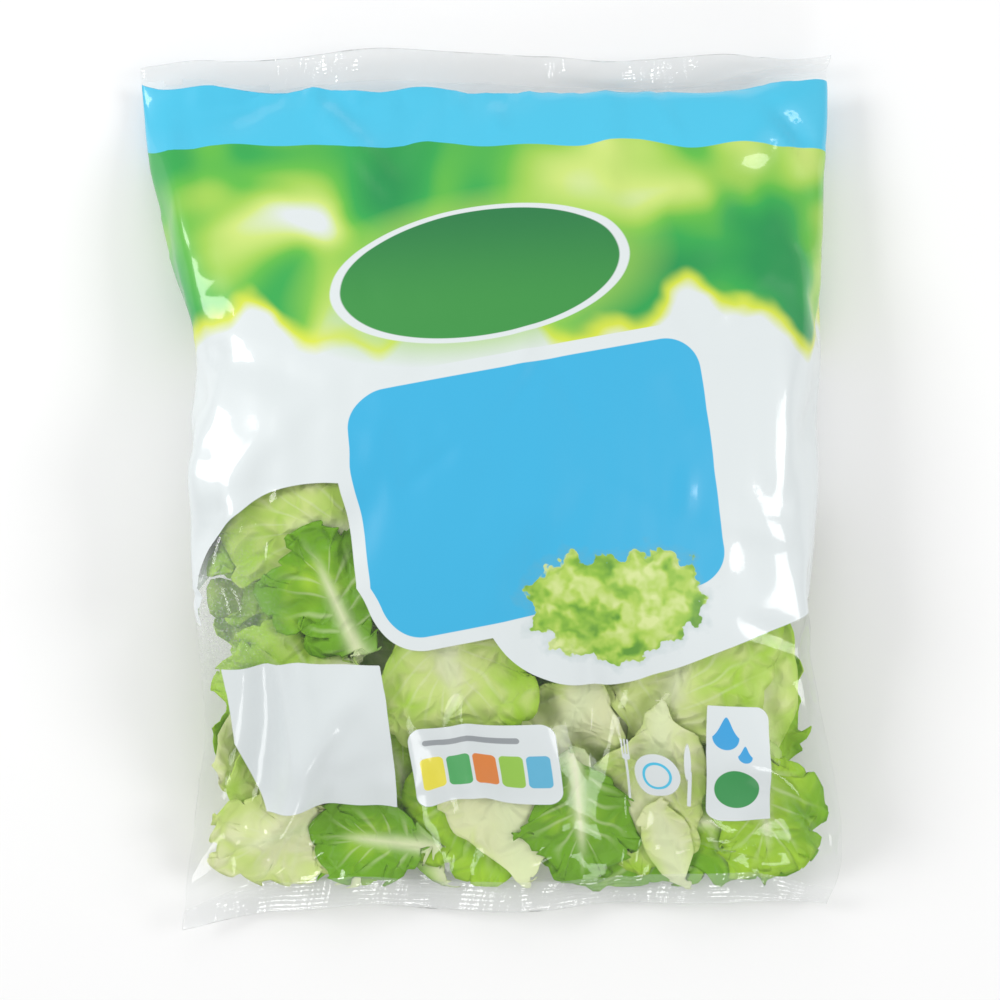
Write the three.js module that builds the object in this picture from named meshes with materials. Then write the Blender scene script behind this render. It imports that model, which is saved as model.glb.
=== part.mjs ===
// A sealed pillow bag of cut salad leaves, lying on its back.
// Millimetres. +Z is up, +Y points to the top seal, +X to the right of the printed front,
// and the origin is at the middle of the bag's footprint, on the surface that it lies on.
// The film and the leaves that fill it are one solid, with the outer form of the film.
import * as THREE from "three";
import { mergeGeometries, mergeVertices } from "three/addons/utils/BufferGeometryUtils.js";

// Driving sizes
const flatWidth = 230; // the film tube pressed flat, as at the top seal
const bagLength = 290; // from the bottom cut edge to the top one
const fullness = 56; // thickness where the leaves fill the bag most
const sealWidth = 12; // each crimped seal, measured along the bag
const sealThickness = 1.2; // two layers of film at a seal
const sealHeight = 10; // how high the seals hover over the table
const stepsAcross = 38;
const stepsAlong = 46;

// Worked out from them
const sealShare = sealWidth / bagLength;
const halfWidth = flatWidth / 2;
const halfLength = bagLength / 2;

// The edges, at equal steps: each side from the bottom corner to the top one, as a share of half the
// flat width, and each end from the left corner to the right one, as a share of half the length.
// The body draws in where it is full, and the corners of the seals stay out as flaps.
const edges = {
  left: [0.887, 0.86, 0.826, 0.81, 0.822, 0.832, 0.835, 0.84, 0.835, 0.911, 0.962, 1.003, 1.017],
  right: [0.983, 1.017, 0.995, 0.945, 0.91, 0.926, 0.941, 0.953, 0.966, 0.96, 0.963, 0.982, 0.983],
  top: [0.979, 0.998, 1.002, 1.014, 1.026, 1.023, 1.019, 1.009, 0.995, 1.008, 1.019, 1.002, 1.014],
  bottom: [1.03, 1.012, 0.986, 0.968, 0.955, 0.97, 0.972, 0.968, 0.957, 0.954, 0.95, 0.952, 0.959],
};

// How the film bulges between the seals
const form = {
  fullestAt: 0.53, // share of the length, from the bottom seal, where the bag is fullest
  endRoundness: 0.6, // under 1 makes the bag swell quickly next to a seal
  sideRoundness: 0.38, // under 1 makes square shoulders along the side folds
  backRoundness: 0.68,
  foldShare: 0.27, // height of the side folds, as a share of the thickness there
  backShare: 0.34, // how deep the back would sag with no table under it, as a share of the thickness
};

// The seals are wavy, and the waves run out into the film as soft puckers
const waves = {
  top: { height: 2.6, count: 3.2, start: 0.1, reach: 0.2 },
  bottom: { height: 3.8, count: 3.6, start: 0.35, reach: 0.16 },
};

// Soft lumps where leaves press on the film: height, and how many across and along
const lumps = [
  { height: 0.9, across: 2.3, along: 3.1, shift: 0.2 },
  { height: 0.6, across: 4.1, along: 4.7, shift: 0.65 },
];

// Broad creases pressed into the front, from one point to another
const creases = [
  { from: [-101, 112], to: [-70, 52], width: 9, depth: 3.4 },
  { from: [-96, 44], to: [-52, 30], width: 8, depth: 2.6 },
  { from: [106, -52], to: [72, -34], width: 8, depth: 2.8 },
  { from: [112, -122], to: [66, -106], width: 6, depth: 4.2 },
  { from: [-92, -126], to: [-56, -104], width: 8, depth: 3.4 },
  { from: [64, 128], to: [76, 74], width: 7, depth: 2.2 },
  { from: [-22, 130], to: [-34, 86], width: 9, depth: 2.2 },
];

const turn = 2 * Math.PI;
const clamp = THREE.MathUtils.clamp;

// A smooth function of a share from 0 to 1 through values at equal steps
function curveThrough(values) {
  const spline = new THREE.SplineCurve(values.map((value, i) => new THREE.Vector2(i, value)));
  return (share) => spline.getPoint(share).y;
}

const edge = Object.fromEntries(Object.entries(edges).map(([side, values]) => [side, curveThrough(values)]));

// Share of the way from the bottom seal to the top one, 0 and 1 on the seals themselves
function pouchShare(along) {
  return clamp((along - sealShare) / (1 - 2 * sealShare), 0, 1);
}

// Thickness of the middle of the bag, 0 at the seals
function thicknessAt(pouch) {
  const evened = Math.pow(pouch, Math.log(0.5) / Math.log(form.fullestAt));
  return fullness * Math.pow(Math.sin(Math.PI * evened), form.endRoundness);
}

function waveAt({ height, count, start, reach }, across, fromSeal) {
  const fade = clamp(1 - fromSeal / reach, 0, 1);
  return height * Math.sin(turn * (count * across + start)) * fade * fade;
}

function lumpsAt(across, along) {
  return lumps.reduce(
    (sum, { height, across: m, along: n, shift }) =>
      sum + height * Math.sin(turn * (m * across + shift)) * Math.sin(turn * (n * along + shift)),
    0,
  );
}

// Depth of the creases at a point of the front
function creasesAt(x, y) {
  return creases.reduce((sum, { from, to, width, depth }) => {
    const [dx, dy] = [to[0] - from[0], to[1] - from[1]];
    const length = Math.hypot(dx, dy);
    const way = ((x - from[0]) * dx + (y - from[1]) * dy) / length;
    const aside = ((x - from[0]) * dy - (y - from[1]) * dx) / length;
    const beyond = Math.max(0, -way, way - length);
    return sum + depth * Math.exp(-(aside * aside + beyond * beyond) / (width * width));
  }, 0);
}

// The film's point at shares across and along, on the front or on the back
function filmPoint(across, along, onFront) {
  const angle = Math.PI * (1 - across);
  const left = -halfWidth * edge.left(along);
  const right = halfWidth * edge.right(along);
  const x = (left + right) / 2 + ((right - left) / 2) * Math.cos(angle);
  const low = -halfLength * edge.bottom(across);
  const high = halfLength * edge.top(across);
  const y = low + (high - low) * along;

  const pouch = pouchShare(along);
  const thickness = thicknessAt(pouch);
  const swell = thickness / fullness;
  const fold = sealHeight + (form.foldShare * fullness - sealHeight) * swell;
  const wave = waveAt(waves.top, across, 1 - along) + waveAt(waves.bottom, across, along);
  const atRim = Math.min(across, 1 - across, along, 1 - along) <= 0;
  const rim = atRim ? 0 : sealThickness / 2;
  const round = atRim ? 0 : Math.sin(angle);
  if (onFront) {
    const crown = (1 - form.foldShare) * thickness * Math.pow(round, form.sideRoundness);
    const relief = (lumpsAt(across, along) - creasesAt(x, y)) * swell * round;
    return new THREE.Vector3(x, y, fold + wave + rim + crown + relief);
  }
  const sag = form.backShare * thickness * Math.pow(round, form.backRoundness);
  return new THREE.Vector3(x, y, Math.max(0, fold + wave - rim - sag));
}

// One face of the bag, from a flat sheet. The back is the same sheet turned over.
function makeFace(onFront) {
  const sheet = new THREE.PlaneGeometry(1, 1, stepsAcross, stepsAlong);
  const spots = sheet.getAttribute("position");
  for (let i = 0; i < spots.count; i++) {
    const across = clamp(spots.getX(i) + 0.5, 0, 1);
    const along = clamp(spots.getY(i) + 0.5, 0, 1);
    const point = filmPoint(onFront ? across : 1 - across, along, onFront);
    spots.setXYZ(i, point.x, point.y, point.z);
  }
  return sheet.deleteAttribute("normal").deleteAttribute("uv");
}

// The closed bag, with the middle of its footprint at the origin
function makeBag() {
  const shell = mergeVertices(mergeGeometries([makeFace(true), makeFace(false)]), 1e-3);
  shell.computeBoundingBox();
  const { min, max } = shell.boundingBox;
  shell.translate(-(min.x + max.x) / 2, -(min.y + max.y) / 2, -min.z);
  shell.computeVertexNormals();
  return shell;
}

const film = new THREE.MeshStandardMaterial({ color: 0xb9d69a, roughness: 0.3, metalness: 0 });

const bag = new THREE.Mesh(makeBag(), film);
bag.name = "salad_bag";

const pack = new THREE.Group();
pack.add(bag);

export default pack;
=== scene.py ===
# A sealed pillow bag of lettuce leaves: clear film with fields of print, and the leaves inside it.
# Metres. +Z is up, +Y points to the top seal, and the bag lies on its back on the table.
import math
from functools import reduce

import bpy
import numpy as np
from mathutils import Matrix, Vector
from mathutils.bvhtree import BVHTree


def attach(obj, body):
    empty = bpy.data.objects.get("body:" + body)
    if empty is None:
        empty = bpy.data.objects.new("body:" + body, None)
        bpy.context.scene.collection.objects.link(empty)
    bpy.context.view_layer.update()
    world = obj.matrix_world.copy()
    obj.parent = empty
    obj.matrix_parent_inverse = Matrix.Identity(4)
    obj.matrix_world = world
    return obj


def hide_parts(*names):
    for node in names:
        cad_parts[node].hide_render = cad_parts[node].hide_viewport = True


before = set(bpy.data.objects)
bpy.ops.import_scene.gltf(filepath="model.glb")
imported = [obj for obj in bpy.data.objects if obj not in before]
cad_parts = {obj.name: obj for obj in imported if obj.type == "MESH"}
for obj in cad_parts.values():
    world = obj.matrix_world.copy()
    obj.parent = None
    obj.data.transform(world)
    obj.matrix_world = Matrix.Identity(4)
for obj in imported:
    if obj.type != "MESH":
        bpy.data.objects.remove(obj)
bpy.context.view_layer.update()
print("frame loaded")

scene = bpy.context.scene
mm = 0.001


def deselectAll():
    bpy.ops.object.select_all(action="DESELECT")


def makeActive(thing):
    deselectAll()
    thing.select_set(True)
    bpy.context.view_layer.objects.active = thing


def applyModifiers(thing):
    makeActive(thing)
    for modifier in list(thing.modifiers):
        bpy.ops.object.modifier_apply(modifier=modifier.name)


def spline(values, share):  # a smooth curve through values at equal steps, at shares from 0 to 1
    last = len(values) - 1
    values = np.asarray(values, float)
    place = np.clip(share, 0, 1) * last
    i = np.minimum(place.astype(int), last - 1)
    f = place - i
    a, b, c, d = (values[np.clip(i + step, 0, last)] for step in (-1, 0, 1, 2))
    square, cube = 2 * a - 5 * b + 4 * c - d, 3 * b - a - 3 * c + d
    return 0.5 * (2 * b + (c - a) * f + square * f**2 + cube * f**3)


def smoothstep(low, high, value):
    t = np.clip((value - low) / (high - low), 0, 1)
    return t * t * (3 - 2 * t)


# Camera, lights and table

view = {
    "height": 0.802,
    "aim": (0.0037, -0.0027),  # puts the middle of the bag a little left of the middle of the picture
    "lens": 85,
}


def addCamera():
    camera = bpy.data.objects.new("camera", bpy.data.cameras.new("camera"))
    scene.collection.objects.link(camera)
    camera.data.lens = view["lens"]
    camera.data.sensor_width = 36
    camera.data.clip_start = 0.01
    camera.location = (*view["aim"], view["height"])
    scene.camera = camera


studio = {
    "world": 0.5,
    "softboxes": [  # place, size and power
        ((-0.85, 0.25, 0.75), 0.42, 5.6),
        ((0.85, 0.05, 0.80), 0.40, 3.8),
        ((0.25, -1.0, 0.55), 0.3, 1.6),
        ((0.0, 1.0, 0.8), 0.6, 2.2),
    ],
    "floor": (0.93, 0.93, 0.93, 1),
}


def addStudio():
    world = bpy.data.worlds.new("studio")
    scene.world = world
    world.use_nodes = True
    world.node_tree.nodes["Background"].inputs["Color"].default_value = (1, 1, 1, 1)
    world.node_tree.nodes["Background"].inputs["Strength"].default_value = studio["world"]
    for number, (place, size, power) in enumerate(studio["softboxes"]):
        lamp = bpy.data.lights.new(f"softbox{number}", "AREA")
        lamp.size = size
        lamp.energy = power
        box = bpy.data.objects.new(f"softbox{number}", lamp)
        scene.collection.objects.link(box)
        box.location = place
        box.visible_glossy = number < 3  # the one behind the bag only lights it
        box.rotation_euler = (-Vector(place)).to_track_quat("-Z", "Y").to_euler()
    scene.view_settings.view_transform = "Standard"
    scene.view_settings.look = "None"


def addFloor():
    deselectAll()
    bpy.ops.mesh.primitive_plane_add(size=6)
    floor = bpy.context.object
    floor.name = "floor"
    paint = bpy.data.materials.new("floorPaint")
    paint.use_nodes = True
    shader = paint.node_tree.nodes["Principled BSDF"]
    shader.inputs["Base Color"].default_value = studio["floor"]
    shader.inputs["Roughness"].default_value = 0.9
    floor.data.materials.append(paint)


addCamera()
addStudio()
addFloor()
print("camera, lights and floor")


# Shader maths

def operator(operation, turned=False):
    def combine(wire, *others):
        values = (wire, *others)
        return wire.shade.sum(operation, *(values[::-1] if turned else values))
    return combine


class Wire:  # an output of a node, that can be used in sums
    def __init__(self, shade, socket):
        self.shade = shade
        self.socket = socket

    def __neg__(self):
        return self * -1

    __add__ = __radd__ = operator("ADD")
    __sub__ = operator("SUBTRACT")
    __rsub__ = operator("SUBTRACT", turned=True)
    __mul__ = __rmul__ = operator("MULTIPLY")
    __truediv__ = operator("DIVIDE")
    __pow__ = operator("POWER")
    __abs__ = operator("ABSOLUTE")


class Shade:  # a material and its nodes
    def __init__(self, name):
        self.material = bpy.data.materials.new(name)
        self.material.use_nodes = True
        self.tree = self.material.node_tree
        self.tree.nodes.clear()

    def node(self, kind, settings=None, sockets=None, output=0):
        made = self.tree.nodes.new("ShaderNode" + kind)
        settings = dict(settings or {})
        stops = settings.pop("stops", None)
        for name, value in settings.items():
            setattr(made, name, value)
        if stops:
            ramp = made.color_ramp.elements
            while len(ramp) < len(stops):
                ramp.new(0.5)
            for element, (position, colour) in zip(ramp, stops):
                element.position = position
                element.color = (*colour, 1)
        for name, value in (sockets or {}).items():
            socket = made.inputs[name]
            if isinstance(value, Wire):
                self.tree.links.new(value.socket, socket)
            elif isinstance(value, (tuple, list)) and len(value) == 3 and len(socket.default_value) == 4:
                socket.default_value = (*value, 1)
            else:
                socket.default_value = value
        return Wire(self, made.outputs[output])

    def sum(self, operation, *values):
        return self.node("Math", {"operation": operation}, dict(enumerate(values)))

    def least(self, *values):
        return reduce(lambda a, b: self.sum("MINIMUM", a, b), values)

    def most(self, *values):
        return reduce(lambda a, b: self.sum("MAXIMUM", a, b), values)

    def sine(self, value):
        return self.sum("SINE", value)

    def clamp(self, value):
        return self.node("Clamp", {}, {"Value": value})

    def ramp(self, low, high, value):  # 0 at low, 1 at high, smooth between them
        settings = {"interpolation_type": "SMOOTHSTEP"}
        return self.node("MapRange", settings, {"Value": value, "From Min": low, "From Max": high})

    def mix(self, share, first, second):  # of two colours
        settings = {"data_type": "RGBA"}
        return self.node("Mix", settings, {"Factor": share, 6: first, 7: second}, output=2)

    def noise(self, place, scale, detail=2.0, roughness=0.5, output=0):
        sockets = {"Vector": place, "Scale": scale, "Detail": detail, "Roughness": roughness}
        return self.node("TexNoise", {}, sockets, output)

    def bend(self, place, swirl, reach):  # moves a place about, by the colour of a noise
        sockets = {0: swirl, 1: (reach, reach, reach), 2: place}
        return self.node("VectorMath", {"operation": "MULTIPLY_ADD"}, sockets)

    def mixShader(self, share, first, second):
        return self.node("MixShader", {}, {0: share, 1: first, 2: second})

    def finish(self, surface):
        end = self.tree.nodes.new("ShaderNodeOutputMaterial")
        self.tree.links.new(surface.socket, end.inputs["Surface"])
        return self.material


def srgb(red, green, blue):  # a colour as it shows, in linear values
    shares = [value / 255 for value in (red, green, blue)]
    return tuple(c / 12.92 if c < 0.0405 else ((c + 0.055) / 1.055) ** 2.4 for c in shares)


# The film: a flat tube of plastic, sealed at both ends and blown up by simulation

filmSheet = {
    "width": 0.230,  # the tube pressed flat
    "length": 0.312,  # along the film, seals included
    "printLength": 0.304,  # the length that the print is laid out for
    "cells": (58, 76),
    "gap": 0.0006,  # between the two layers
    "sealRows": 3,
    "sealHeight": 0.010,
    "fullHeight": 0.056,
}

halfWidth = filmSheet["width"] / 2
halfLength = 0.145  # from the middle to the cut edges

fitting = {
    "corners": ((78, 104), (104, 124)),  # where the ironing sets in, in x and in y, in millimetres
    "ironing": 0.6,
    "ironedTimes": 14,
    "strip": 0.0016,  # half the width of the strips that the outline is read from
    "endsFrom": (0.1, 0.134),  # where the ends start to follow their outline, and where they do in full
    "lowSwell": 0.0055,  # leaves push the front up right behind the bottom seal
    "offTable": 0.0002,
}

# The edges at equal steps: sides from the bottom to the top as a share of half the width, and ends
# from left to right as a share of half the length
edges = {
    "left": [0.887, 0.86, 0.826, 0.81, 0.822, 0.832, 0.835, 0.84, 0.835, 0.911, 0.962, 1.003, 1.017],
    "right": [0.983, 1.017, 0.995, 0.945, 0.91, 0.926, 0.941, 0.953, 0.966, 0.96, 0.963, 0.982, 0.983],
    "top": [0.979, 0.998, 1.002, 1.014, 1.026, 1.023, 1.019, 1.009, 0.995, 1.008, 1.019, 1.002, 1.014],
    "bottom": [1.03, 1.012, 0.986, 0.968, 0.955, 0.97, 0.972, 0.968, 0.957, 0.954, 0.95, 0.952, 0.959],
}

sealWaves = {  # height, how many across, and where they start
    "top": (0.0026, 3.2, 0.1),
    "bottom": (0.0038, 3.6, 0.35),
}

inflation = {
    "frames": 46,
    "sealedBy": 35,  # the frame by which the seals have drawn in to their places
    "pressure": 8.0,
    "mass": 0.01,
    "stiffness": 40.0,
    "bending": 0.005,
    "damping": 2,
    "bendingDamping": 0.2,
    "clearance": 0.0008,
    "quality": 8,
}


def readAll(items, kind, width, sort=float):  # a row of values for each item
    values = np.empty(len(items) * width, sort)
    items.foreach_get(kind, values)
    return values.reshape(-1, width)


def getPoints(mesh, kind="co"):
    return readAll(mesh.vertices, kind, 3)


def setPoints(mesh, points):
    mesh.vertices.foreach_set("co", np.asarray(points, float).ravel())
    mesh.update()


def addFlatTube():
    sheets = []
    for side in (1, -1):
        deselectAll()
        across, along = filmSheet["cells"]
        bpy.ops.mesh.primitive_grid_add(x_subdivisions=across, y_subdivisions=along, size=1)
        sheet = bpy.context.object
        bpy.ops.object.mode_set(mode="EDIT")
        bpy.ops.mesh.select_all(action="SELECT")
        bpy.ops.transform.resize(value=(filmSheet["width"], filmSheet["length"], 1))
        if side < 0:
            bpy.ops.mesh.flip_normals()
        bpy.ops.object.mode_set(mode="OBJECT")
        points = getPoints(sheet.data)
        halfSheet = filmSheet["length"] / 2
        inside = (abs(points[:, 0]) < halfWidth - 1e-5) & (abs(points[:, 1]) < halfSheet - 1e-5)
        points[:, 2] = filmSheet["sealHeight"] + inside * side * filmSheet["gap"] / 2
        setPoints(sheet.data, points)
        sheets.append(sheet)
    front, back = sheets
    makeActive(front)
    back.select_set(True)
    bpy.ops.object.join()
    bpy.ops.object.mode_set(mode="EDIT")
    bpy.ops.mesh.select_all(action="SELECT")
    bpy.ops.mesh.remove_doubles(threshold=filmSheet["gap"] / 4)
    bpy.ops.object.mode_set(mode="OBJECT")
    front.data.materials.append(None)
    front.data.materials.append(None)
    for face in front.data.polygons:
        face.material_index = 0 if face.normal.z > 0 else 1
    front.name = "bagFilm"
    front.data.name = "bagFilm"
    return front


def sealPlaces(points):  # where the drawn-in seals put each point of the flat tube
    across = points[:, 0] / filmSheet["width"] + 0.5
    along = points[:, 1] / filmSheet["length"] + 0.5
    left = -halfWidth * spline(edges["left"], along)
    right = halfWidth * spline(edges["right"], along)
    low = -halfLength * spline(edges["bottom"], across) + along * filmSheet["length"]
    high = halfLength * spline(edges["top"], across) - (1 - along) * filmSheet["length"]
    upper = along > 0.5
    waves = {
        end: height * np.sin(2 * math.pi * (count * across + start))
        for end, (height, count, start) in sealWaves.items()
    }
    placed = points.copy()
    placed[:, 0] = left + (right - left) * across
    placed[:, 1] = np.where(upper, high, low)
    placed[:, 2] += np.where(upper, waves["top"], waves["bottom"])
    return placed


def inflate(film):
    points = getPoints(film.data)
    film.shape_key_add(name="flat")
    sealed = film.shape_key_add(name="sealed")
    sealed.data.foreach_set("co", sealPlaces(points).ravel())
    for frameNumber, value in ((1, 0), (inflation["sealedBy"], 1)):
        sealed.value = value
        sealed.keyframe_insert("value", frame=frameNumber)
    rowLength = filmSheet["length"] / filmSheet["cells"][1]
    held = abs(points[:, 1]) > filmSheet["length"] / 2 - (filmSheet["sealRows"] - 0.5) * rowLength
    pins = film.vertex_groups.new(name="seals")
    pins.add([int(i) for i in np.flatnonzero(held)], 1.0, "REPLACE")

    deselectAll()
    bpy.ops.mesh.primitive_plane_add(size=1)
    press = bpy.context.object
    press.modifiers.new("press", "COLLISION")
    press.collision.thickness_outer = inflation["clearance"]
    press.collision.cloth_friction = 1

    cloth = film.modifiers.new("air", "CLOTH")
    settings = cloth.settings
    settings.quality = inflation["quality"]
    settings.mass = inflation["mass"]
    settings.air_damping = 1
    settings.tension_stiffness = settings.compression_stiffness = inflation["stiffness"]
    settings.shear_stiffness = inflation["stiffness"] / 2
    settings.bending_stiffness = inflation["bending"]
    settings.tension_damping = settings.compression_damping = inflation["damping"]
    settings.shear_damping = inflation["damping"]
    settings.bending_damping = inflation["bendingDamping"]
    settings.use_pressure = True
    settings.uniform_pressure_force = inflation["pressure"]
    settings.vertex_group_mass = pins.name
    settings.effector_weights.gravity = 0
    cloth.collision_settings.distance_min = inflation["clearance"]
    cloth.point_cache.frame_end = scene.frame_end = inflation["frames"]
    for frameNumber in range(1, inflation["frames"] + 1):
        scene.frame_set(frameNumber)
    blown = film.evaluated_get(bpy.context.evaluated_depsgraph_get())
    mesh = bpy.data.meshes.new_from_object(blown)
    film.modifiers.clear()
    film.data = mesh
    mesh.name = "bagFilm"
    scene.frame_set(1)
    bpy.data.objects.remove(press)


def calmCorners(film):  # irons out the pinched film next to the ends of the seals
    points = getPoints(film.data) / mm
    inX, inY = (smoothstep(*reach, abs(points[:, axis])) for axis, reach in enumerate(fitting["corners"]))
    weights = inX * inY
    corners = film.vertex_groups.new(name="corners")
    for i in np.flatnonzero(weights > 0.01):
        corners.add([int(i)], float(weights[i]), "REPLACE")
    iron = film.modifiers.new("iron", "SMOOTH")
    iron.factor = fitting["ironing"]
    iron.iterations = fitting["ironedTimes"]
    iron.vertex_group = corners.name


def fitEnds(points):  # draws the cut edges out to their measured outline
    for name, side in (("top", 1), ("bottom", -1)):
        x, y = points[:, 0], points[:, 1] * side
        sealed = x[y > halfLength * 0.86]
        steps = np.linspace(sealed.min() + 0.0015, sealed.max() - 0.0015, 101)
        found = [y[abs(x - step) < fitting["strip"]].max() for step in steps]
        want = halfLength * spline(edges[name], x / (2 * halfWidth) + 0.5)
        follow = smoothstep(*fitting["endsFrom"], y)
        points[:, 1] += side * (want - np.interp(x, steps, found)) * follow


def fitSides(points):  # draws the sides in to their measured outline
    steps = np.linspace(-0.945, 0.965, 121) * halfLength
    found = []
    for step in steps:
        strip = points[abs(points[:, 1] - step) < fitting["strip"], 0]
        found.append((strip.min(), strip.max()))
    y = points[:, 1]
    along = (y / halfLength + 1) / 2
    gotLeft, gotRight = (np.interp(y, steps, side) for side in np.array(found).T)
    wantLeft = -halfWidth * spline(edges["left"], along)
    wantRight = halfWidth * spline(edges["right"], along)
    share = (points[:, 0] - gotLeft) / (gotRight - gotLeft)
    points[:, 0] = wantLeft + share * (wantRight - wantLeft)


def fitOutline(film):
    points = getPoints(film.data)
    fitEnds(points)
    fitSides(points)
    points[:, 2] -= points[:, 2].min()
    points[:, 2] *= filmSheet["fullHeight"] / points[:, 2].max()
    points[:, 2] += fitting["offTable"]
    setPoints(film.data, points)
    low = smoothstep(-0.141, -0.129, points[:, 1]) * (1 - smoothstep(-0.127, -0.098, points[:, 1]))
    points[:, 2] += fitting["lowSwell"] * low * np.clip(getPoints(film.data, "normal")[:, 2] * 1.5, 0, 1)
    setPoints(film.data, points)


creases = [  # ends in millimetres, width and height of the folds that show most on the front
    ((-110, 132), (-90, 48), 7.0, 2.7),
    ((-62, 136), (-45, 114), 6.5, 2.4),
    ((-48, 119), (-28, 94), 6.5, 2.3),
    ((-20, 134), (-34, 100), 7.0, -1.4),
    ((-2, 136), (4, 116), 5.0, 1.6),
    ((39, 136), (39, 76), 8.0, 1.7),
    ((51, 138), (64, 113), 3.5, 1.2),
    ((61, 102), (53, 78), 4.0, 1.1),
    ((108, 110), (108, 74), 5.0, 2.0),
    ((94, 122), (104, 104), 4.0, 1.5),
    ((86, 136), (108, 112), 5.0, -1.4),
    ((-100, 40), (-92, -6), 7.0, 1.8),
    ((-92, 44), (-52, 34), 8.0, -1.4),
    ((-88, -10), (-62, -4), 6.0, 1.8),
    ((62, -110), (100, -126), 5.5, 3.6),
    ((72, -122), (106, -134), 7.0, -1.6),
    ((100, -62), (107, -100), 6.0, 1.8),
    ((-96, -104), (-64, -128), 7.0, 2.4),
    ((-30, -128), (-20, -100), 5.0, 1.2),
    ((30, -132), (22, -104), 5.0, 1.3),
    ((-104, -60), (-94, -110), 6.0, 1.5),
]

crinkles = {
    "seed": 11,
    "places": {  # smaller folds at random: how many, between which y, length, width and height
        "front": (70, (-126, 128), (14, 44), (4.0, 8.0), 0.8),
        "topSeal": (44, (128, 146), (8, 20), (3.0, 4.6), 1.0),
        "lowSeal": (30, (-140, -118), (9, 26), (3.0, 5.0), 1.0),
        "back": (60, (-128, 128), (14, 44), (4.0, 8.0), -0.7),
    },
}


def planCreases():
    dice = np.random.default_rng(crinkles["seed"])
    plan = [(start, end, width, height, 1) for start, end, width, height in creases]
    for place, (count, reach, lengths, widths, height) in crinkles["places"].items():
        side = -1 if place == "back" else 1
        for _ in range(count):
            middle = np.array((dice.uniform(-104, 104), dice.uniform(*reach)))
            lean = dice.normal(0, 0.9 if place in ("front", "back") else 0.35)
            half = np.array((math.sin(lean), math.cos(lean))) * dice.uniform(*lengths) / 2
            tall = height * dice.uniform(0.4, 1) * (dice.choice([-1, 1]) if side > 0 else 1)
            plan.append((middle - half, middle + half, dice.uniform(*widths), tall, side))
    return plan


def crinkle(film):  # presses sharp folds into the film
    mesh = film.data
    points = getPoints(mesh) / mm
    normals = getPoints(mesh, "normal")
    lift = np.zeros(len(points))
    for start, end, width, height, side in planCreases():
        start, end = np.array(start, float), np.array(end, float)
        length = np.linalg.norm(end - start)
        way = (end - start) / length
        offset = points[:, :2] - start
        along = offset @ way / length
        aside = abs(offset[:, 0] * way[1] - offset[:, 1] * way[0])
        taper = np.sin(math.pi * np.clip(along, 0, 1)) ** 0.8
        flanks = np.clip(1 - aside / width, 0, 1)
        lift += height * taper * flanks * smoothstep(0.0, 0.5, normals[:, 2] * side)
    points += normals * lift[:, None]
    points[:, 2] = np.maximum(points[:, 2], 0.2)
    setPoints(mesh, points * mm)


def makeFilm():
    film = addFlatTube()
    inflate(film)
    calmCorners(film)
    film.modifiers.new("smooth", "SUBSURF").levels = 1
    film.modifiers["smooth"].render_levels = 1
    applyModifiers(film)
    fitOutline(film)
    crinkle(film)
    bpy.ops.object.shade_smooth()
    return film


film = makeFilm()
print("film blown up", len(film.data.polygons))


# The print on the film, in millimetres on the flat tube, from its middle: x to the right and y to
# the top seal

inks = {
    "white": srgb(222, 229, 230),
    "skyBlue": srgb(68, 196, 232),
    "panelBlue": srgb(50, 178, 224),
    "deepGreen": srgb(8, 146, 72),
    "green": srgb(40, 168, 72),
    "midGreen": srgb(94, 188, 62),
    "limeGreen": srgb(160, 208, 78),
    "paleLime": srgb(205, 228, 120),
    "yellow": srgb(228, 234, 62),
    "grey": srgb(150, 156, 160),
    "dropBlue": srgb(51, 162, 222),
    "signGreen": srgb(28, 146, 66),
}

printPlan = {
    "tilt": -0.052,  # the bands run down to the right by this slope
    "bandTop": 135.2,
    "bandLow": 113.0,
    "foliageLow": 50.0,
    "badge": {"centre": (-5, 67.5), "half": (45.5, 20.5), "tilt": 10},
    "panel": {"centre": (12.2, -1.5), "half": (54.5, 39.3), "tilt": 9.5, "radius": 11},
    "panelBorder": 4.3,
    "window": {"centre": (-54, -42), "half": (47, 43.5)},
    "lobe": {"middle": 26, "low": -65},
    "rosettes": [((26, -39), 17.5), ((47, -36.5), 16.5), ((37, -46), 13)],
    "datePatch": {"centre": (-68.3, -82.6), "half": (27.8, 26.8), "tilt": -1, "radius": 0.5},
    "scoreLabel": {"centre": (-10.7, -93.4), "half": (24.2, 15.3), "tilt": 2, "radius": 5},
    "dish": {"centre": (47.1, -97.2), "radius": 7.4},
    "washLabel": {"centre": (73.2, -93.0), "half": (10.2, 22), "tilt": -3, "radius": 4.5},
    "sealFrom": 140.0,
}


class Ruler:  # distances in millimetres on the flat film, for node wires and for plain arrays alike
    def turned(self, centre, tilt):  # x and y from a centre, along a tilted frame
        c, s = math.cos(math.radians(tilt)), math.sin(math.radians(tilt))
        dx, dy = self.x - centre[0], self.y - centre[1]
        return dx * c + dy * s, dy * c - dx * s

    def length(self, a, b):
        return (a * a + b * b) ** 0.5

    def box(self, centre, half, tilt=0.0, radius=0.0):  # distance to a rounded box
        dx, dy = self.turned(centre, tilt)
        qx = abs(dx) - (half[0] - radius)
        qy = abs(dy) - (half[1] - radius)
        outer = self.length(self.most(qx, 0.0), self.most(qy, 0.0))
        return outer + self.least(self.most(qx, qy), 0.0) - radius

    def oval(self, centre, half, tilt=0.0):
        dx, dy = self.turned(centre, tilt)
        return (self.length(dx / half[0], dy / half[1]) - 1) * min(half)


class Spots(Ruler):  # plain points of the flat film
    def __init__(self, x, y):
        self.x, self.y = x, y

    def most(self, *values):
        return reduce(np.maximum, values)

    def least(self, *values):
        return reduce(np.minimum, values)

    def sine(self, value):
        return np.sin(value)

    def inside(self, distance, blur=0.12):
        return np.clip(0.5 - distance / (2 * blur), 0, 1)


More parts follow.
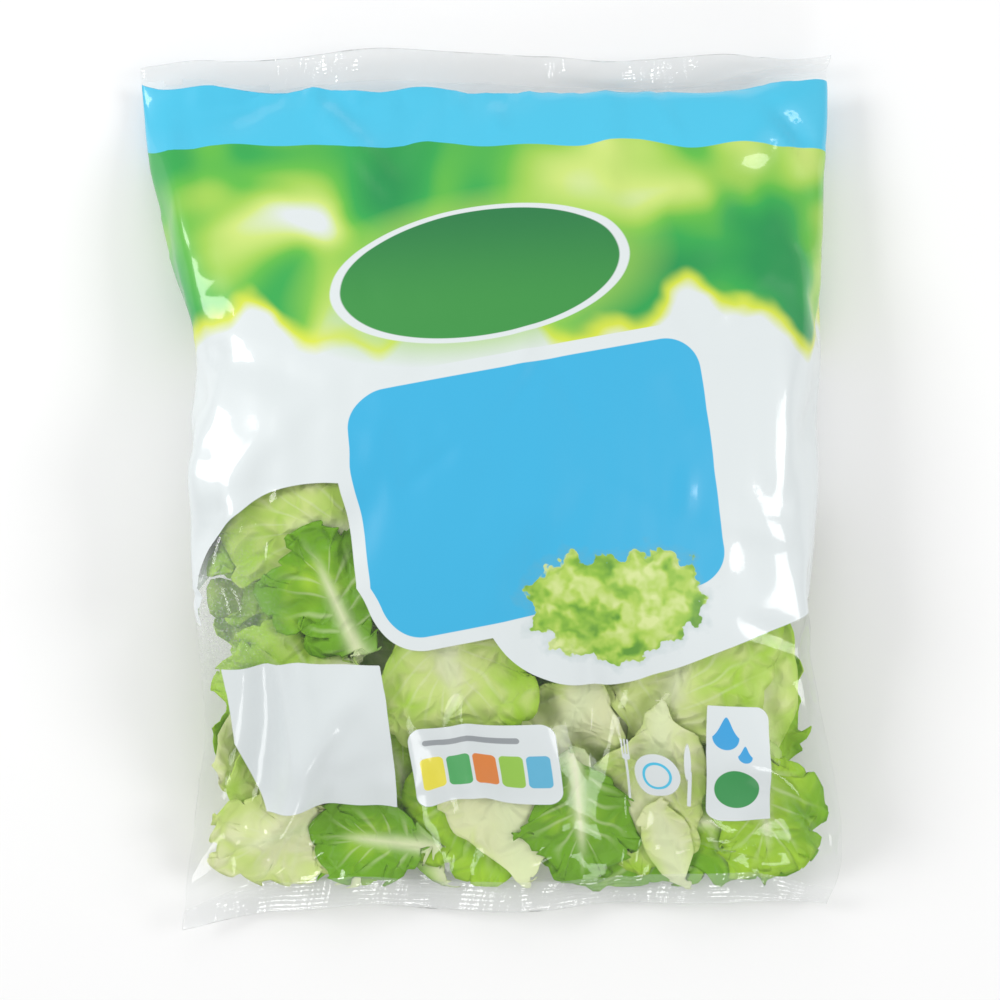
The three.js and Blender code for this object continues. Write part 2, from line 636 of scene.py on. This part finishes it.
class Sheet(Shade, Ruler):  # a material drawn on the flat film
    def __init__(self, name):
        super().__init__(name)
        spot = self.node("UVMap", {"uv_map": "UVMap"})
        self.x = (self.node("SeparateXYZ", {}, {0: spot}, 0) - 0.5) * (filmSheet["width"] * 1000)
        self.y = (self.node("SeparateXYZ", {}, {0: spot}, 1) - 0.5) * (filmSheet["printLength"] * 1000)
        self.place = self.node("CombineXYZ", {}, {0: self.x, 1: self.y, 2: 0.0})

    def inside(self, distance, blur=0.12):  # 1 where the distance to an outline is below 0
        settings = {"clamp": True}
        return self.node("MapRange", settings, {"Value": distance, "From Min": blur, "From Max": -blur})

    def over(self, colour, ink, share):
        return self.mix(share, colour, ink)


def bandSlope(s):
    return s.y - s.x * printPlan["tilt"] + s.sine(s.x * 0.11) * 0.9 + s.sine(s.x * 0.19 + 2.0) * 0.9


def frontOutlines(s):  # how far each spot lies outside each printed shape of the front
    window, lobe = printPlan["window"], printPlan["lobe"]
    panel = s.box(**printPlan["panel"])
    dx = (s.x - window["centre"][0]) / window["half"][0]
    arch = s.most(1 - dx * dx, 0.0) ** 0.5 * window["half"][1] + window["centre"][1]
    fromMiddle = s.x - lobe["middle"]
    rightRise = (fromMiddle * fromMiddle * 0.16 + 53) ** 0.5 - 7.3
    leftDrop = (s.most(-fromMiddle, 0.0) / 33) ** 4 * 15
    lobeLow = rightRise + leftDrop + lobe["low"]
    low = lobeLow + (arch - lobeLow) * s.inside(s.x + 20, 0.01)
    field = s.most(low - s.y, bandSlope(s) - printPlan["bandTop"])

    corner = (-96.5 - s.x) * 0.94 + (-80.0 - s.y) * 0.34
    patch = s.most(s.box(**printPlan["datePatch"]), corner)
    score = s.box(**printPlan["scoreLabel"])
    wash = printPlan["washLabel"]
    across, up = s.turned(wash["centre"], wash["tilt"])
    square = s.box(wash["centre"], wash["half"], wash["tilt"], 0.3)
    wash = s.most(square, s.box(**wash) - s.inside(across * up, 0.01) * 9)  # square at two corners

    cx, cy = printPlan["dish"]["centre"]
    plate = s.length(s.x - cx, (s.y - cy) * 0.85) - printPlan["dish"]["radius"]
    fork = s.box((cx - 10.3, cy - 3.5), (0.55, 8.5), 2, 0.5)
    for step in (-1.25, 0, 1.25):
        fork = s.least(fork, s.box((cx - 10.5 + step, cy + 8.5), (0.34, 3.6), 2, 0.3))
    fork = s.least(fork, s.box((cx - 10.4, cy + 5.0), (1.6, 1.2), 2, 1.1))
    knife = s.box((cx + 10.1, cy - 4.5), (0.6, 7.5), -3, 0.5)
    knife = s.least(knife, s.oval((cx + 10.0, cy + 6.0), (1.1, 7.0), -3))
    cutlery = s.least(fork, knife)
    cover = s.least(field, panel - printPlan["panelBorder"], patch, score, wash, plate, cutlery)
    return {
        "panel": panel, "patch": patch, "score": score, "wash": wash,
        "plate": plate, "cutlery": cutlery, "cover": cover,
    }


def backOutlines(s):
    rise = s.y + 10 - s.sine(s.x * 0.02 + 0.6) * 6
    field = s.most(-rise, bandSlope(s) - printPlan["bandTop"])
    table = s.box((52, -92), (26, 17), 0, 3)
    return {"notes": s.box((4, 22), (72, 17), 0, 7), "table": table, "cover": s.least(field, table)}


def drawFoliage(s, low):  # leafy greens out of focus, and how far a spot is above their lower edge
    swirl = s.noise(s.place, 0.018, detail=0.5, output=1)
    blotch = s.noise(s.bend(s.place, swirl, 55), 0.024, detail=1.0, roughness=0.4)
    stops = [
        (0.34, inks["deepGreen"]), (0.47, inks["green"]), (0.56, inks["midGreen"]),
        (0.63, inks["limeGreen"]), (0.71, inks["paleLime"]), (0.80, inks["white"]),
    ]
    greens = s.node("ValToRGB", {"stops": stops}, {0: blotch})
    scallops = s.sine(s.x * (2 * math.pi / 74) + 2.4) * 8 + s.sine(s.x * (2 * math.pi / 27) + 0.7) * 3.2
    ragged = (s.noise(s.place, 0.09, detail=1.0) - 0.5) * 9
    above = s.y - low - scallops - ragged
    fringe = 1 - s.ramp(1.5, 8.5, above)
    return s.over(greens, inks["yellow"], fringe * 0.85), above


def drawRosettes(s, colour):  # a few heads of frilly leaf
    ragged = s.noise(s.place, 0.16, detail=2.5, roughness=0.6)
    curls = s.noise(s.place, 0.22, detail=1.5, output=1)
    folds = s.noise(s.bend(s.place, curls, 9), 0.11, detail=1.0)
    stops = [
        (0.30, srgb(92, 150, 40)), (0.42, srgb(140, 188, 56)),
        (0.52, srgb(176, 208, 86)), (0.66, srgb(214, 228, 150)),
    ]
    leafy = s.node("ValToRGB", {"stops": stops}, {0: folds})
    rim = 99.0
    for (cx, cy), radius in printPlan["rosettes"]:
        dx, dy = s.x - cx, s.y - cy
        turnAngle = s.sum("ARCTAN2", dy, dx)
        frill = s.sine(turnAngle * 11) * 0.9 + (ragged - 0.5) * 16
        rim = s.least(rim, s.length(dx, dy * 1.15) - radius - frill)
    colour = s.over(colour, srgb(120, 160, 160), s.inside(rim - 1.8, 2.4) * 0.25)
    shaded = s.over(leafy, srgb(96, 150, 48), s.inside(abs(rim + 1.0) - 0.3, 0.8) * 0.35)
    return s.over(colour, shaded, s.inside(rim, 0.3))


def drawFront(s, shapes):  # the colour of the front's print
    greens, aboveFringe = drawFoliage(s, printPlan["foliageLow"])
    colour = s.over(inks["white"], greens, s.inside(-aboveFringe, 2.2))

    badge = s.oval(**printPlan["badge"])
    colour = s.over(colour, inks["limeGreen"], s.inside(badge - 5.5, 3.5) * 0.55)
    colour = s.over(colour, inks["white"], s.inside(badge - 1.5))
    fade = s.ramp(55, 95, s.y)
    colour = s.over(colour, s.mix(fade, srgb(52, 146, 62), srgb(14, 118, 60)), s.inside(badge))

    colour = s.over(colour, inks["skyBlue"], s.inside(printPlan["bandLow"] - bandSlope(s)))
    colour = s.over(colour, inks["white"], s.inside(shapes["panel"] - printPlan["panelBorder"]))
    colour = s.over(colour, inks["panelBlue"], s.inside(shapes["panel"]))
    colour = drawRosettes(s, colour)
    for label in ("patch", "score", "wash", "plate", "cutlery"):
        colour = s.over(colour, inks["white"], s.inside(shapes[label]))

    label = printPlan["scoreLabel"]
    cx, cy = label["centre"]
    bar = s.box((cx - 4, cy + 9.3), (16, 1.1), label["tilt"], 1.1)
    colour = s.over(colour, inks["grey"], s.inside(bar))
    swatches = [(238, 226, 60), (70, 170, 90), (226, 130, 50), (150, 200, 70), (90, 180, 215)]
    for number, swatch in enumerate(swatches):
        rise = 8.8 * math.sin(math.radians(label["tilt"])) * (number - 2)
        spot = (cx - 17.6 + 8.8 * number, cy - 2.6 + rise)
        square = s.box(spot, (3.9, 6.2), label["tilt"], 1.6)
        colour = s.over(colour, srgb(*swatch), s.inside(square))

    label = printPlan["washLabel"]
    cx, cy = label["centre"]
    for place, size in (((cx - 3.4, cy + 12.0), 4.3), ((cx + 2.4, cy + 5.6), 2.3)):
        dx, dy = s.turned(place, label["tilt"])
        drop = s.length(dx * (1 + s.most(dy, 0.0) * (1.1 / size)), dy - s.most(dy, 0.0) * 0.35) - size
        colour = s.over(colour, inks["dropBlue"], s.inside(drop))
    dot = s.oval((cx - 1.0, cy - 8.0), (7.2, 8.0), label["tilt"])
    colour = s.over(colour, inks["signGreen"], s.inside(dot))

    ring = abs(shapes["plate"] + printPlan["dish"]["radius"] * 0.42) - 0.45
    return s.over(colour, inks["skyBlue"], s.inside(ring))


def drawBack(s, shapes):
    greens, aboveFringe = drawFoliage(s, printPlan["foliageLow"] + 6)
    colour = s.over(inks["white"], greens, s.inside(-aboveFringe, 2.2))
    colour = s.over(colour, inks["skyBlue"], s.inside(printPlan["bandLow"] - bandSlope(s)))
    return s.over(colour, inks["panelBlue"], s.inside(abs(shapes["notes"]) - 0.6))


filmLooks = {
    "tint": (0.985, 0.988, 0.988),
    "haze": 0.012,
    "sealHaze": 0.12,
    "sealShine": 0.05,
    "gloss": 0.035,  # the share that is mirrored straight on
    "grazing": 0.75,  # and how much more edge on
    "roughness": 0.07,
    "printRoughness": 0.42,
    "printCoat": 0.7,
    "wrinkleDepth": 0.00035,
    "crimpPitch": 1.5,
    "crimps": 0.12,  # how deep the seal's ribs and puckers are, as a share of the wrinkles
    "puckers": 2.4,
    "mistCentre": (-92, -34),
    "mistReach": 30,
    "mistSquash": 0.7,
    "mist": 0.14,
    "droplets": 0.16,
}


def fromMist(s):  # distance from the middle of the misted patch
    cx, cy = filmLooks["mistCentre"]
    return s.length(s.x - cx, (s.y - cy) * filmLooks["mistSquash"])


def makeFilmMaterial(name, outlines=None, draw=None, edged=False, misted=False, crimped=False):
    s = Sheet(name)
    stretch = (1.0, 0.3, 1.0) if crimped else (1.6, 0.5, 1.0)
    stretched = s.node("VectorMath", {"operation": "MULTIPLY"}, {0: s.place, 1: stretch})
    if crimped:
        ribs = s.sine(s.y * (2 * math.pi / filmLooks["crimpPitch"]))
        puckers = s.noise(stretched, 0.26, detail=2.0)
        height = ribs * filmLooks["crimps"] + puckers * filmLooks["puckers"]
    else:
        height = s.noise(stretched, 0.06, detail=1.0)
    normal = s.node("Bump", {}, {"Height": height, "Distance": filmLooks["wrinkleDepth"]})
    if draw:
        shapes = outlines(s)
        ink = s.node("BsdfPrincipled", {}, {
            "Base Color": draw(s, shapes),
            "Roughness": filmLooks["printRoughness"],
            "Coat Weight": filmLooks["printCoat"],
            "Coat Roughness": filmLooks["roughness"],
            "Normal": normal,
        })
        if not edged:
            return s.finish(ink)
    facing = s.node("LayerWeight", {}, {"Blend": 0.5}, output=1)
    shine = facing ** 5 * filmLooks["grazing"] + filmLooks["gloss"]
    clear = s.node("BsdfTransparent", {}, {"Color": filmLooks["tint"]})
    mirrored = {"Color": (1, 1, 1), "Roughness": filmLooks["roughness"], "Normal": normal}
    mirror = s.node("BsdfGlossy", {}, mirrored)
    milk = s.node("BsdfDiffuse", {}, {"Color": (0.9, 0.92, 0.92)})
    if crimped:
        shine = shine + filmLooks["sealShine"]
    haze = filmLooks["haze"] + filmLooks["sealHaze"] * crimped
    if misted:
        near = s.ramp(filmLooks["mistReach"], 4, fromMist(s))
        droplets = s.ramp(0.52, 0.66, s.noise(s.place, 1.1, detail=2.0))
        haze = near * (droplets * filmLooks["droplets"] + filmLooks["mist"]) + haze
    plain = s.mixShader(haze, s.mixShader(shine, clear, mirror), milk)
    return s.finish(s.mixShader(s.inside(shapes["cover"]), plain, ink) if draw else plain)


def paintFilm(film):
    mesh = film.data
    corners = readAll(mesh.uv_layers[0].data, "uv", 2)
    starts = readAll(mesh.polygons, "loop_start", 1, int)
    middle = corners[starts + np.arange(4)].mean(1)
    x = (middle[:, 0] - 0.5) * filmSheet["width"] * 1000
    y = (middle[:, 1] - 0.5) * filmSheet["printLength"] * 1000
    isBack = readAll(mesh.polygons, "material_index", 1, int)[:, 0]
    spots = Spots(x, y)
    margin = 2.2  # a face is 2 mm across
    cover = np.where(isBack == 0, frontOutlines(spots)["cover"], backOutlines(spots)["cover"])
    mist = (fromMist(spots) < filmLooks["mistReach"] + margin) & (isBack == 0)
    kinds = [  # each finish of the film and the faces that take it, where a later one wins
        ("filmClear", {}, cover > 0),
        ("filmMisted", {"misted": True}, mist),
        ("filmSeal", {"crimped": True}, abs(y) > printPlan["sealFrom"]),
        ("filmEdgeFront", {"outlines": frontOutlines, "draw": drawFront, "edged": True, "misted": True},
         (abs(cover) <= margin) & (isBack == 0)),
        ("filmEdgeBack", {"outlines": backOutlines, "draw": drawBack, "edged": True},
         (abs(cover) <= margin) & (isBack == 1)),
        ("filmPrintFront", {"outlines": frontOutlines, "draw": drawFront},
         (cover < -margin) & (isBack == 0)),
        ("filmPrintBack", {"outlines": backOutlines, "draw": drawBack},
         (cover < -margin) & (isBack == 1)),
    ]
    index = np.zeros(len(mesh.polygons), int)
    mesh.materials.clear()
    for number, (name, options, faces) in enumerate(kinds):
        mesh.materials.append(makeFilmMaterial(name, **options))
        index[faces] = number
    mesh.polygons.foreach_set("material_index", index)
    mesh.update()


paintFilm(film)
print("film painted")


# The leaves: each is a ruffled sheet, laid on the heap of those before it, inside the film

leafKinds = {
    "broad": {  # pale leaves with a fan of veins
        "round": 105, "out": 15, "fan": 0.42, "frill": 4.8, "waves": 6, "curl": 1.8, "curls": 13,
        "blister": 2.5, "rib": 4.6, "lobes": 0.05, "scallops": 0.06, "notches": 8.5, "veins": 17,
    },
    "frilly": {  # bright green, with a tightly ruffled edge
        "round": 141, "out": 13, "fan": 0.62, "frill": 6.4, "waves": 7, "curl": 3.2, "curls": 20,
        "blister": 2.7, "rib": 2.6, "lobes": 0.10, "scallops": 0.17, "notches": 11.5, "veins": 15,
    },
    "ribbed": {  # the lower part of a leaf, mostly stalk
        "round": 89, "out": 13, "fan": 0.80, "frill": 3.4, "waves": 5, "curl": 1.8, "curls": 12,
        "blister": 1.6, "rib": 8.0, "lobes": 0.04, "scallops": 0.05, "notches": 8.5, "veins": 11,
    },
}

leafThickness = 0.00045

heapPlan = {
    "cell": 3.0,  # of the grid that the heap is measured on
    "fromFilm": 0.9,  # a leaf keeps this clear of the film
    "thinnest": 2.0,  # leaves stay where the bag is thicker than this
    "layers": [  # spacing, and the reach in x and y, from the bottom up
        (56, (-84, 92), (-104, 98)),
        (54, (-80, 88), (-100, 20)),
    ],
    "spare": (24, 3),  # how far short of the bag's sides the lower and the top leaves may stop
    "maxStretch": 1.35,
    "seed": 7,
}

topLeaves = [  # kind, x, y, length, width, turn and tone, from the bottom of the heap's top layer up
    ("broad", -20, 80, 95, 80, 30, 0.5),
    ("broad", 60, 60, 95, 80, -50, 0.4),
    ("broad", 10, 10, 100, 85, 200, 0.4),
    ("frilly", -94, -40, 56, 40, 20, 0.40),
    ("frilly", -80, -30, 56, 46, 60, 0.60),
    ("broad", 72, -30, 80, 64, -100, 0.3),
    ("broad", -86, -92, 74, 46, 8, -0.16),
    ("broad", -56, -92, 74, 56, 160, 0.05),
    ("frilly", 103, -84, 74, 42, -12, 0.55),
    ("frilly", 52, -124, 66, 30, 92, 0.70),
    ("frilly", -26, -108, 66, 40, 20, 0.70),
    ("frilly", -4, -100, 60, 50, 190, 0.60),
    ("ribbed", 98, -62, 88, 36, 6, 0.30),
    ("frilly", -78, -62, 50, 40, 110, 0.40),
    ("frilly", 84, -122, 58, 38, 262, 0.80),
    ("frilly", 100, -104, 50, 36, 190, 0.55),
    ("broad", 62, -56, 74, 62, -20, 0.24),
    ("broad", -58, -12, 66, 46, 84, 0.26),
    ("broad", -50, -122, 44, 34, 10, -0.05),
    ("frilly", -78, -130, 46, 32, 105, -0.05),
    ("broad", 24, -82, 62, 40, 158, 0.05),
    ("broad", 54, -98, 62, 40, 176, 0.10),
    ("ribbed", 6, -120, 62, 42, 14, -0.15),
    ("frilly", -38, -130, 40, 30, 84, 0.98),
    ("broad", -12, -60, 56, 52, 190, 0.22),
    ("frilly", -50, -33, 44, 42, 24, 0.92),
    ("frilly", 30, -110, 46, 38, 186, 1.0),
    ("ribbed", 60, -122, 34, 16, 20, 0.0),
]


def makeLeafPoints(kind, length, width, dice):  # a leaf lying flat, centred, with its tip up +y
    k = leafKinds[kind]
    m, out = np.meshgrid(np.linspace(-1, 1, k["round"]), np.linspace(0, 1, k["out"]), indexing="ij")
    out = out**0.85
    around = m * math.pi * 0.96
    phases = dice.uniform(0, 2 * math.pi, 14)
    middle = 0.56 * length
    plainY = middle + np.where(np.cos(around) > 0, length - middle, middle) * np.cos(around)
    lobes = 1 + k["lobes"] * (np.cos(5 * around + phases[0]) + 0.6 * np.cos(9 * around + phases[1]))
    notches = k["notches"] * around + phases[2] + 1.2 * np.sin(3 * around + phases[11])
    lobes += k["scallops"] * (abs(np.sin(notches)) ** 0.6 - 0.7)
    edgeX = width / 2 * np.sin(around) * lobes * (0.35 + 0.65 * smoothstep(0, 0.45, plainY / length))
    edgeY = middle + (plainY - middle) * lobes
    ribY = k["fan"] * plainY
    x = edgeX * out
    y = ribY + (edgeY - ribY) * out

    wander = np.sin(1.6 * around + phases[12])
    wave = math.pi * k["waves"] * m + wander + phases[3]
    ripple = math.pi * k["curls"] * m + wander * 1.5 + phases[4]
    strength = 0.62 + 0.38 * np.sin(2.3 * around + phases[5])
    fine = 0.6 + 0.4 * np.sin(3.7 * around + phases[13])
    z = k["frill"] * strength * out**2.4 * np.sin(wave)
    z += k["curl"] * fine * out**4 * np.sin(ripple)
    slide = k["frill"] * 0.6 * out**2.6 * np.cos(wave) + k["curl"] * 0.7 * out**4 * np.cos(ripple)
    x = x + np.cos(around) * slide
    y = y - np.sin(around) * slide

    sizes = (13, 9, 17, 7.5, 22)  # of the blisters, in millimetres
    swells = [(math.cos(a), math.sin(a), 2 * math.pi / w) for a, w in zip(phases[6:11], sizes)]
    bubbles = sum(np.sin(f * (c * x + s * y) + a) for (c, s, f), a in zip(swells, phases)) / 2.4
    z += k["blister"] * np.maximum(bubbles, -0.45) * (0.35 + 0.65 * out)
    ribWidth = k["rib"] * (1 - 0.75 * np.clip(y / (length * 0.9), 0, 1)) + 0.4
    ribLeft = 1 - smoothstep(0.55, 1.0, y / (length * (0.3 + k["fan"])))
    rib = np.exp(-((edgeX * out / ribWidth) ** 2)) * ribLeft
    z += 1.4 * rib * k["rib"] / 4
    z *= dice.choice([-1, 1])

    roll = dice.uniform(38, 120) * dice.choice([-1, 1])
    bow = dice.uniform(80, 220) * dice.choice([-1, 1])
    x, z = (roll - z) * np.sin(x / roll), z + (roll - z) * (1 - np.cos(x / roll))
    y = y - length / 2
    y, z = (bow - z) * np.sin(y / bow), z + (bow - z) * (1 - np.cos(y / bow))
    return {"points": np.stack([x, y, z], -1), "around": m, "out": out, "rib": rib}


def sampleGrid(grid, x, y):  # bilinear, at millimetre places
    cell, (originX, originY) = heapPlan["cell"], grid["origin"]
    values = grid["values"]
    gx = np.clip((x - originX) / cell, 0, values.shape[0] - 1.001)
    gy = np.clip((y - originY) / cell, 0, values.shape[1] - 1.001)
    i, j = gx.astype(int), gy.astype(int)
    fx, fy = gx - i, gy - j
    low = values[i, j] * (1 - fx) + values[i + 1, j] * fx
    high = values[i, j + 1] * (1 - fx) + values[i + 1, j + 1] * fx
    return low * (1 - fy) + high * fy


def aroundEach(values):  # the grid moved by a cell in each direction, and as it is
    padded = np.pad(values, 1, mode="edge")
    rows, columns = values.shape
    return [padded[i:i + rows, j:j + columns] for i in range(3) for j in range(3)]


def spread(values, choose, times=1):  # each cell takes the highest or lowest of its neighbours
    for _ in range(times):
        values = choose.reduce(aroundEach(values))
    return values


def soften(values, times):
    for _ in range(times):
        values = sum(aroundEach(values)) / 9
    return values


def measureInside(film):  # the lowest and the highest film over each cell, in millimetres
    tree = BVHTree.FromObject(film, bpy.context.evaluated_depsgraph_get())
    cell = heapPlan["cell"]
    xs, ys = np.arange(-120, 120.1, cell), np.arange(-150, 150.1, cell)
    low, high = np.zeros((len(xs), len(ys))), np.zeros((len(xs), len(ys)))
    for i, x in enumerate(xs):
        for j, y in enumerate(ys):
            above = tree.ray_cast(Vector((x * mm, y * mm, 0.3)), Vector((0, 0, -1)))[0]
            below = tree.ray_cast(Vector((x * mm, y * mm, -0.1)), Vector((0, 0, 1)))[0]
            if above is not None and below is not None:
                low[i, j], high[i, j] = below.z / mm, above.z / mm
    thick = high - low > heapPlan["thinnest"]
    low, high = spread(low, np.maximum), spread(np.where(high > 0, high, 99), np.minimum)
    sides = [(y, xs[row].min(), xs[row].max()) for y, row in zip(ys, thick.T) if abs(y) < 114]
    ends = [(x, ys[column].min(), ys[column].max()) for x, column in zip(xs, thick) if abs(x) < 84]
    origin = (xs[0], ys[0])
    return {
        "sides": np.array(sides).T, "ends": np.array(ends).T,
        "low": {"values": low, "origin": origin}, "high": {"values": high, "origin": origin},
    }


def pullIn(value, low, high, free=0.94):  # bends what would pass the bounds back inside them
    middle, half = (low + high) / 2, np.maximum((high - low) / 2, 1)
    share = (value - middle) / half
    beyond = np.maximum(abs(share) - free, 0)
    bent = np.minimum(abs(share), free) + (1 - free) * np.tanh(beyond / (1 - free))
    return middle + half * np.sign(share) * bent


def moveInside(value, low, high, spare):  # how far a whole leaf moves to stop short of both bounds
    return np.maximum(low + spare[0] - value, 0).max() - np.maximum(value - high + spare[1], 0).max()


def layLeaf(points, place, turn, inside, heap, dice, spare):
    angle = math.radians(turn)
    c, s = math.cos(angle), math.sin(angle)
    x = points[..., 0] * c - points[..., 1] * s + place[0]
    y = points[..., 0] * s + points[..., 1] * c + place[1]
    margin = dice.uniform(0, 1, 4) * spare
    for _ in range(2):  # first moves the whole leaf inside
        rows = [np.interp(y, inside["sides"][0], side) for side in inside["sides"][1:]]
        x += moveInside(x, *rows, margin[:2])
        columns = [np.interp(x, inside["ends"][0], side) for side in inside["ends"][1:]]
        y += moveInside(y, *columns, margin[2:])
    x = pullIn(x, *rows)
    y = pullIn(y, *columns)
    rest = {"values": soften(spread(heap["values"], np.maximum, 2), 3), "origin": heap["origin"]}
    above = points[..., 2] - points[..., 2].min()
    z = sampleGrid(rest, x, y) + above - np.quantile(above, 0.04) + 0.4
    cells = []
    for value, start, count in zip((x, y), heap["origin"], heap["values"].shape):
        number = np.rint((value - start) / heapPlan["cell"]).astype(int)
        cells.append(np.clip(number, 0, count - 1))
    np.maximum.at(heap["values"], tuple(cells), z)
    return np.stack([x, y, z], -1)


def pressIntoBag(points, inside, top):  # squeezes the heap between the back and the front of the film
    x, y, z = points[..., 0], points[..., 1], points[..., 2]
    clear = heapPlan["fromFilm"]
    low = sampleGrid(inside["low"], x, y) + clear
    high = sampleGrid(inside["high"], x, y) - clear
    room = np.maximum(high - low, 0.5)
    stretch = np.minimum(room / np.maximum(sampleGrid(top, x, y), 6), heapPlan["maxStretch"])
    share = z * stretch / room
    share = np.where(share > 0.85, 0.85 + 0.15 * np.tanh((share - 0.85) / 0.15), share)
    return np.stack([x, y, low + np.clip(share, 0, 1) * room], -1)


def buildLeafPiece(kind, leaves):  # joins the leaves of one kind into one mesh, with a thickness
    rounds, outs = leafKinds[kind]["round"], leafKinds[kind]["out"]
    i, j = np.meshgrid(np.arange(rounds - 1), np.arange(outs - 1), indexing="ij")
    first = (i * outs + j).ravel()
    quads = np.stack([first, first + outs, first + outs + 1, first + 1], -1)
    count = rounds * outs
    points = np.concatenate([leaf["points"].reshape(-1, 3) for leaf in leaves]) * mm
    faces = np.concatenate([quads + number * count for number in range(len(leaves))])
    mesh = bpy.data.meshes.new(kind + "Leaves")
    mesh.from_pydata(points.tolist(), [], faces.tolist())
    uv = mesh.uv_layers.new(name="UVMap")
    flat = [np.stack([leaf["around"], leaf["out"]], -1).reshape(-1, 2) for leaf in leaves]
    corners = np.concatenate(flat)[faces.ravel()]
    uv.data.foreach_set("uv", (corners * (0.5, 1) + (0.5, 0)).ravel())
    for label in ("tone", "rib"):
        layer = mesh.attributes.new(label, "FLOAT", "POINT")
        values = [np.broadcast_to(leaf[label], (rounds, outs)).ravel() for leaf in leaves]
        layer.data.foreach_set("value", np.concatenate(values).astype(np.float32))
    piece = bpy.data.objects.new(kind + "Leaves", mesh)
    scene.collection.objects.link(piece)
    makeActive(piece)
    bpy.ops.object.mode_set(mode="EDIT")
    bpy.ops.mesh.select_all(action="SELECT")
    bpy.ops.mesh.remove_doubles(threshold=0.000004)
    bpy.ops.object.mode_set(mode="OBJECT")
    solid = piece.modifiers.new("thickness", "SOLIDIFY")
    solid.thickness = leafThickness
    solid.offset = 0
    applyModifiers(piece)
    bpy.ops.object.shade_smooth()
    return piece


def planLeaves():  # the lower layers by a rule, then the top leaves
    dice = np.random.default_rng(heapPlan["seed"])
    plan = []
    for spacing, (left, right), (bottom, top) in heapPlan["layers"]:
        across = round((right - left) / spacing) + 1
        upwards = round((top - bottom) / spacing) + 1
        spots = [(i, j) for i in range(across) for j in range(upwards)]
        dice.shuffle(spots)
        for i, j in spots:
            x = left + (right - left) * (i + dice.uniform(-0.35, 0.35)) / (across - 1)
            y = bottom + (top - bottom) * (j + dice.uniform(-0.35, 0.35)) / (upwards - 1)
            kind = str(dice.choice(["broad", "frilly", "ribbed"], p=[0.45, 0.3, 0.25]))
            length = dice.uniform(60, 92)
            width = length * dice.uniform(0.62, 0.85)
            plan.append((kind, x, y, length, width, dice.uniform(0, 360), dice.uniform(0.05, 0.95)))
    return plan + topLeaves


def makeLeaves(film):
    inside = measureInside(film)
    heap = {**inside["low"], "values": np.zeros_like(inside["low"]["values"])}
    laid = []
    plan = planLeaves()
    for number, (kind, x, y, length, width, turn, tone) in enumerate(plan):
        dice = np.random.default_rng(heapPlan["seed"] * 1000 + number)
        leaf = makeLeafPoints(kind, length, width, dice)
        spare = heapPlan["spare"][number >= len(plan) - len(topLeaves)]
        leaf["points"] = layLeaf(leaf["points"], (x, y), turn, inside, heap, dice, spare)
        laid.append({**leaf, "kind": kind, "tone": tone})
    top = {"values": soften(spread(heap["values"], np.maximum), 2), "origin": heap["origin"]}
    for leaf in laid:
        leaf["points"] = pressIntoBag(leaf["points"], inside, top)
    sorts = {kind: [leaf for leaf in laid if leaf["kind"] == kind] for kind in leafKinds}
    return {kind: buildLeafPiece(kind, leaves) for kind, leaves in sorts.items()}


leafLooks = {
    "white": srgb(248, 252, 202),
    "pale": srgb(228, 245, 150),
    "mid": srgb(184, 230, 52),
    "deep": srgb(124, 188, 10),
    "rib": srgb(246, 254, 206),
    "roughness": 0.42,
    "shine": 0.28,
    "through": 0.22,  # the share of light that passes through a leaf
    "puffDepth": 0.0007,
}


def makeLeafMaterial(kind):
    s = Shade(kind + "Leaf")
    spot = s.node("UVMap", {"uv_map": "UVMap"})
    around = s.node("SeparateXYZ", {}, {0: spot}, 0)
    out = s.node("SeparateXYZ", {}, {0: spot}, 1)
    tone = s.node("Attribute", {"attribute_name": "tone"}, {}, 2)
    rib = s.node("Attribute", {"attribute_name": "rib"}, {}, 2)
    place = s.node("TexCoord", {}, {}, 3)
    mottle = s.noise(place, 42.0, detail=2.0)
    wavy = around + (s.noise(place, 60.0, detail=1.0) - 0.5) * 0.07
    # 0 on a vein and 1 halfway to the next
    fromVein = abs(s.sum("FRACT", wavy * leafKinds[kind]["veins"]) - 0.5) * 2
    vein = (1 - s.ramp(0.0, 0.34, fromVein)) * (1 - s.ramp(0.35, 0.95, out))
    swirl = s.noise(place, 90.0, detail=0.0, output=1)
    bent = s.bend(place, swirl, 0.012)
    cells = s.node("TexVoronoi", {"feature": "DISTANCE_TO_EDGE"}, {"Vector": bent, "Scale": 125.0})
    puff = s.ramp(0.0, 0.42, cells)  # the skin stands up between the finest veins
    # the leaf's own tone, mottle and greener margin, plus painted shade: deeper green in the hollows
    # between the puffed cells
    shade = tone + (mottle - 0.5) + out * 0.25 - 0.12 + (1 - puff) * 0.13
    green = s.mix(s.ramp(0.0, 0.28, shade), leafLooks["white"], leafLooks["pale"])
    green = s.mix(s.ramp(0.22, 0.62, shade), green, leafLooks["mid"])
    green = s.mix(s.ramp(0.62, 1.05, shade), green, leafLooks["deep"])
    colour = s.mix(s.clamp(s.most(vein * 0.38, rib)), green, leafLooks["rib"])
    normal = s.node("Bump", {}, {"Height": puff, "Distance": leafLooks["puffDepth"]})
    skin = s.node("BsdfPrincipled", {}, {
        "Base Color": colour,
        "Roughness": leafLooks["roughness"],
        "Specular IOR Level": leafLooks["shine"],
        "Normal": normal,
    })
    glow = s.node("BsdfTranslucent", {}, {"Color": colour, "Normal": normal})
    return s.finish(s.mixShader(leafLooks["through"], skin, glow))


leafPieces = makeLeaves(film)
for kind, piece in leafPieces.items():
    piece.data.materials.append(makeLeafMaterial(kind))
print("leaves laid", {kind: len(piece.data.polygons) for kind, piece in leafPieces.items()})


# What carries what

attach(film, "root")
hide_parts("salad_bag")
for piece in leafPieces.values():
    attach(piece, "root")

scene.cycles.transparent_max_bounces = 16  # light passes the film many times
print("done")
